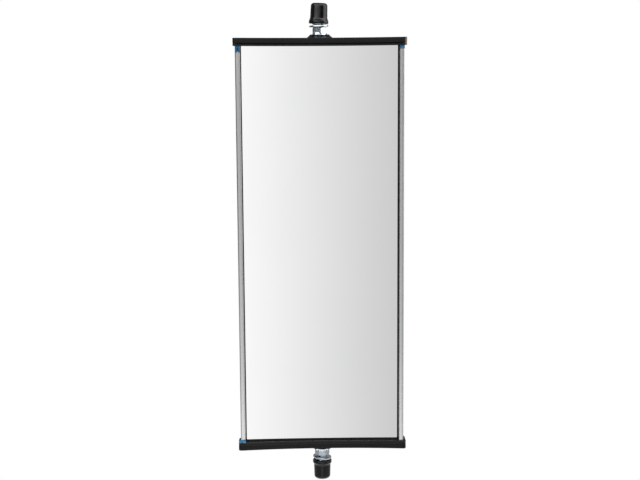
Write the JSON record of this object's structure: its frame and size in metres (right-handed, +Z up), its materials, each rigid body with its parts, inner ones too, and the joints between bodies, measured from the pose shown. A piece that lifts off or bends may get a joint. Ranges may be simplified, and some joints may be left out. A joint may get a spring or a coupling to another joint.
{
  "type": "vehicle mirror head",
  "caption": "Tall rectangular rear-view mirror head: framed glass with moulded end caps and a threaded stud with nuts, washer and soft cover at each end.",
  "frame": {"origin": "middle of the head on the studs' common axis", "axes": "+Z up along the studs, the glass faces -Y, +X to the right of someone looking at the glass"},
  "size_m": [0.1672, 0.028, 0.473],
  "materials": {
    "mirror_glass": "silvered float glass, very slightly convex, polished",
    "gasket_rubber": "black extruded rubber, satin",
    "foam": "dark closed-cell foam sheet",
    "fibre_board": "brown pressed fibre board",
    "stainless": "bright rolled stainless sheet with fine lengthwise grain",
    "spine_steel": "folded steel, black dip coat",
    "cap_plastic": "black moulded plastic, satin with fine moulded grain",
    "zinc_steel": "bright zinc plate with a faint blue tint",
    "cover_vinyl": "glossy dipped black vinyl",
    "film": "thin blue protective film, torn"
  },
  "bodies": {
    "head": {"mirror_glass": "mirror_glass", "glazing_gasket": "gasket_rubber", "foam_pad": "foam", "backing_board": "fibre_board", "left_channel": "stainless", "right_channel": "stainless", "back_shell": "stainless", "spine": "spine_steel", "film_scraps": "film", "top_end_cap": "cap_plastic", "top_stud": "zinc_steel", "top_lock_nut": "zinc_steel", "bottom_end_cap": "cap_plastic", "bottom_stud": "zinc_steel", "bottom_lock_nut": "zinc_steel"},
    "top_washer": {"top_flat_washer": "zinc_steel"},
    "top_nut": {"top_clamp_nut": "zinc_steel"},
    "top_cover": {"top_nut_cover": "cover_vinyl"},
    "bottom_washer": {"bottom_flat_washer": "zinc_steel"},
    "bottom_nut": {"bottom_clamp_nut": "zinc_steel"},
    "bottom_cover": {"bottom_nut_cover": "cover_vinyl"}
  },
  "joints": [
    {"name": "top_nut_travel", "type": "slide", "parent": "head", "child": "top_washer", "axis": [0, 0, 1], "range_m": [0, 0.017]},
    {"name": "top_nut_turn", "type": "hinge", "parent": "top_washer", "child": "top_nut", "pos_m": [0, 0, 0], "axis": [0, 0, 1], "range_deg": [0, 4340]},
    {"name": "top_cover_pull", "type": "slide", "parent": "top_nut", "child": "top_cover", "axis": [0, 0, 1], "range_m": [0, 0.024]},
    {"name": "bottom_nut_travel", "type": "slide", "parent": "head", "child": "bottom_washer", "axis": [0, 0, -1], "range_m": [0, 0.017]},
    {"name": "bottom_nut_turn", "type": "hinge", "parent": "bottom_washer", "child": "bottom_nut", "pos_m": [0, 0, 0], "axis": [0, 0, -1], "range_deg": [0, 4340]},
    {"name": "bottom_cover_pull", "type": "slide", "parent": "bottom_nut", "child": "bottom_cover", "axis": [0, 0, -1], "range_m": [0, 0.024]}
  ],
  "couplings": [
    {"joint": "top_nut_turn", "follows": "top_nut_travel", "rad_per_m": 4452.7},
    {"joint": "bottom_nut_turn", "follows": "bottom_nut_travel", "rad_per_m": 4452.7}
  ]
}
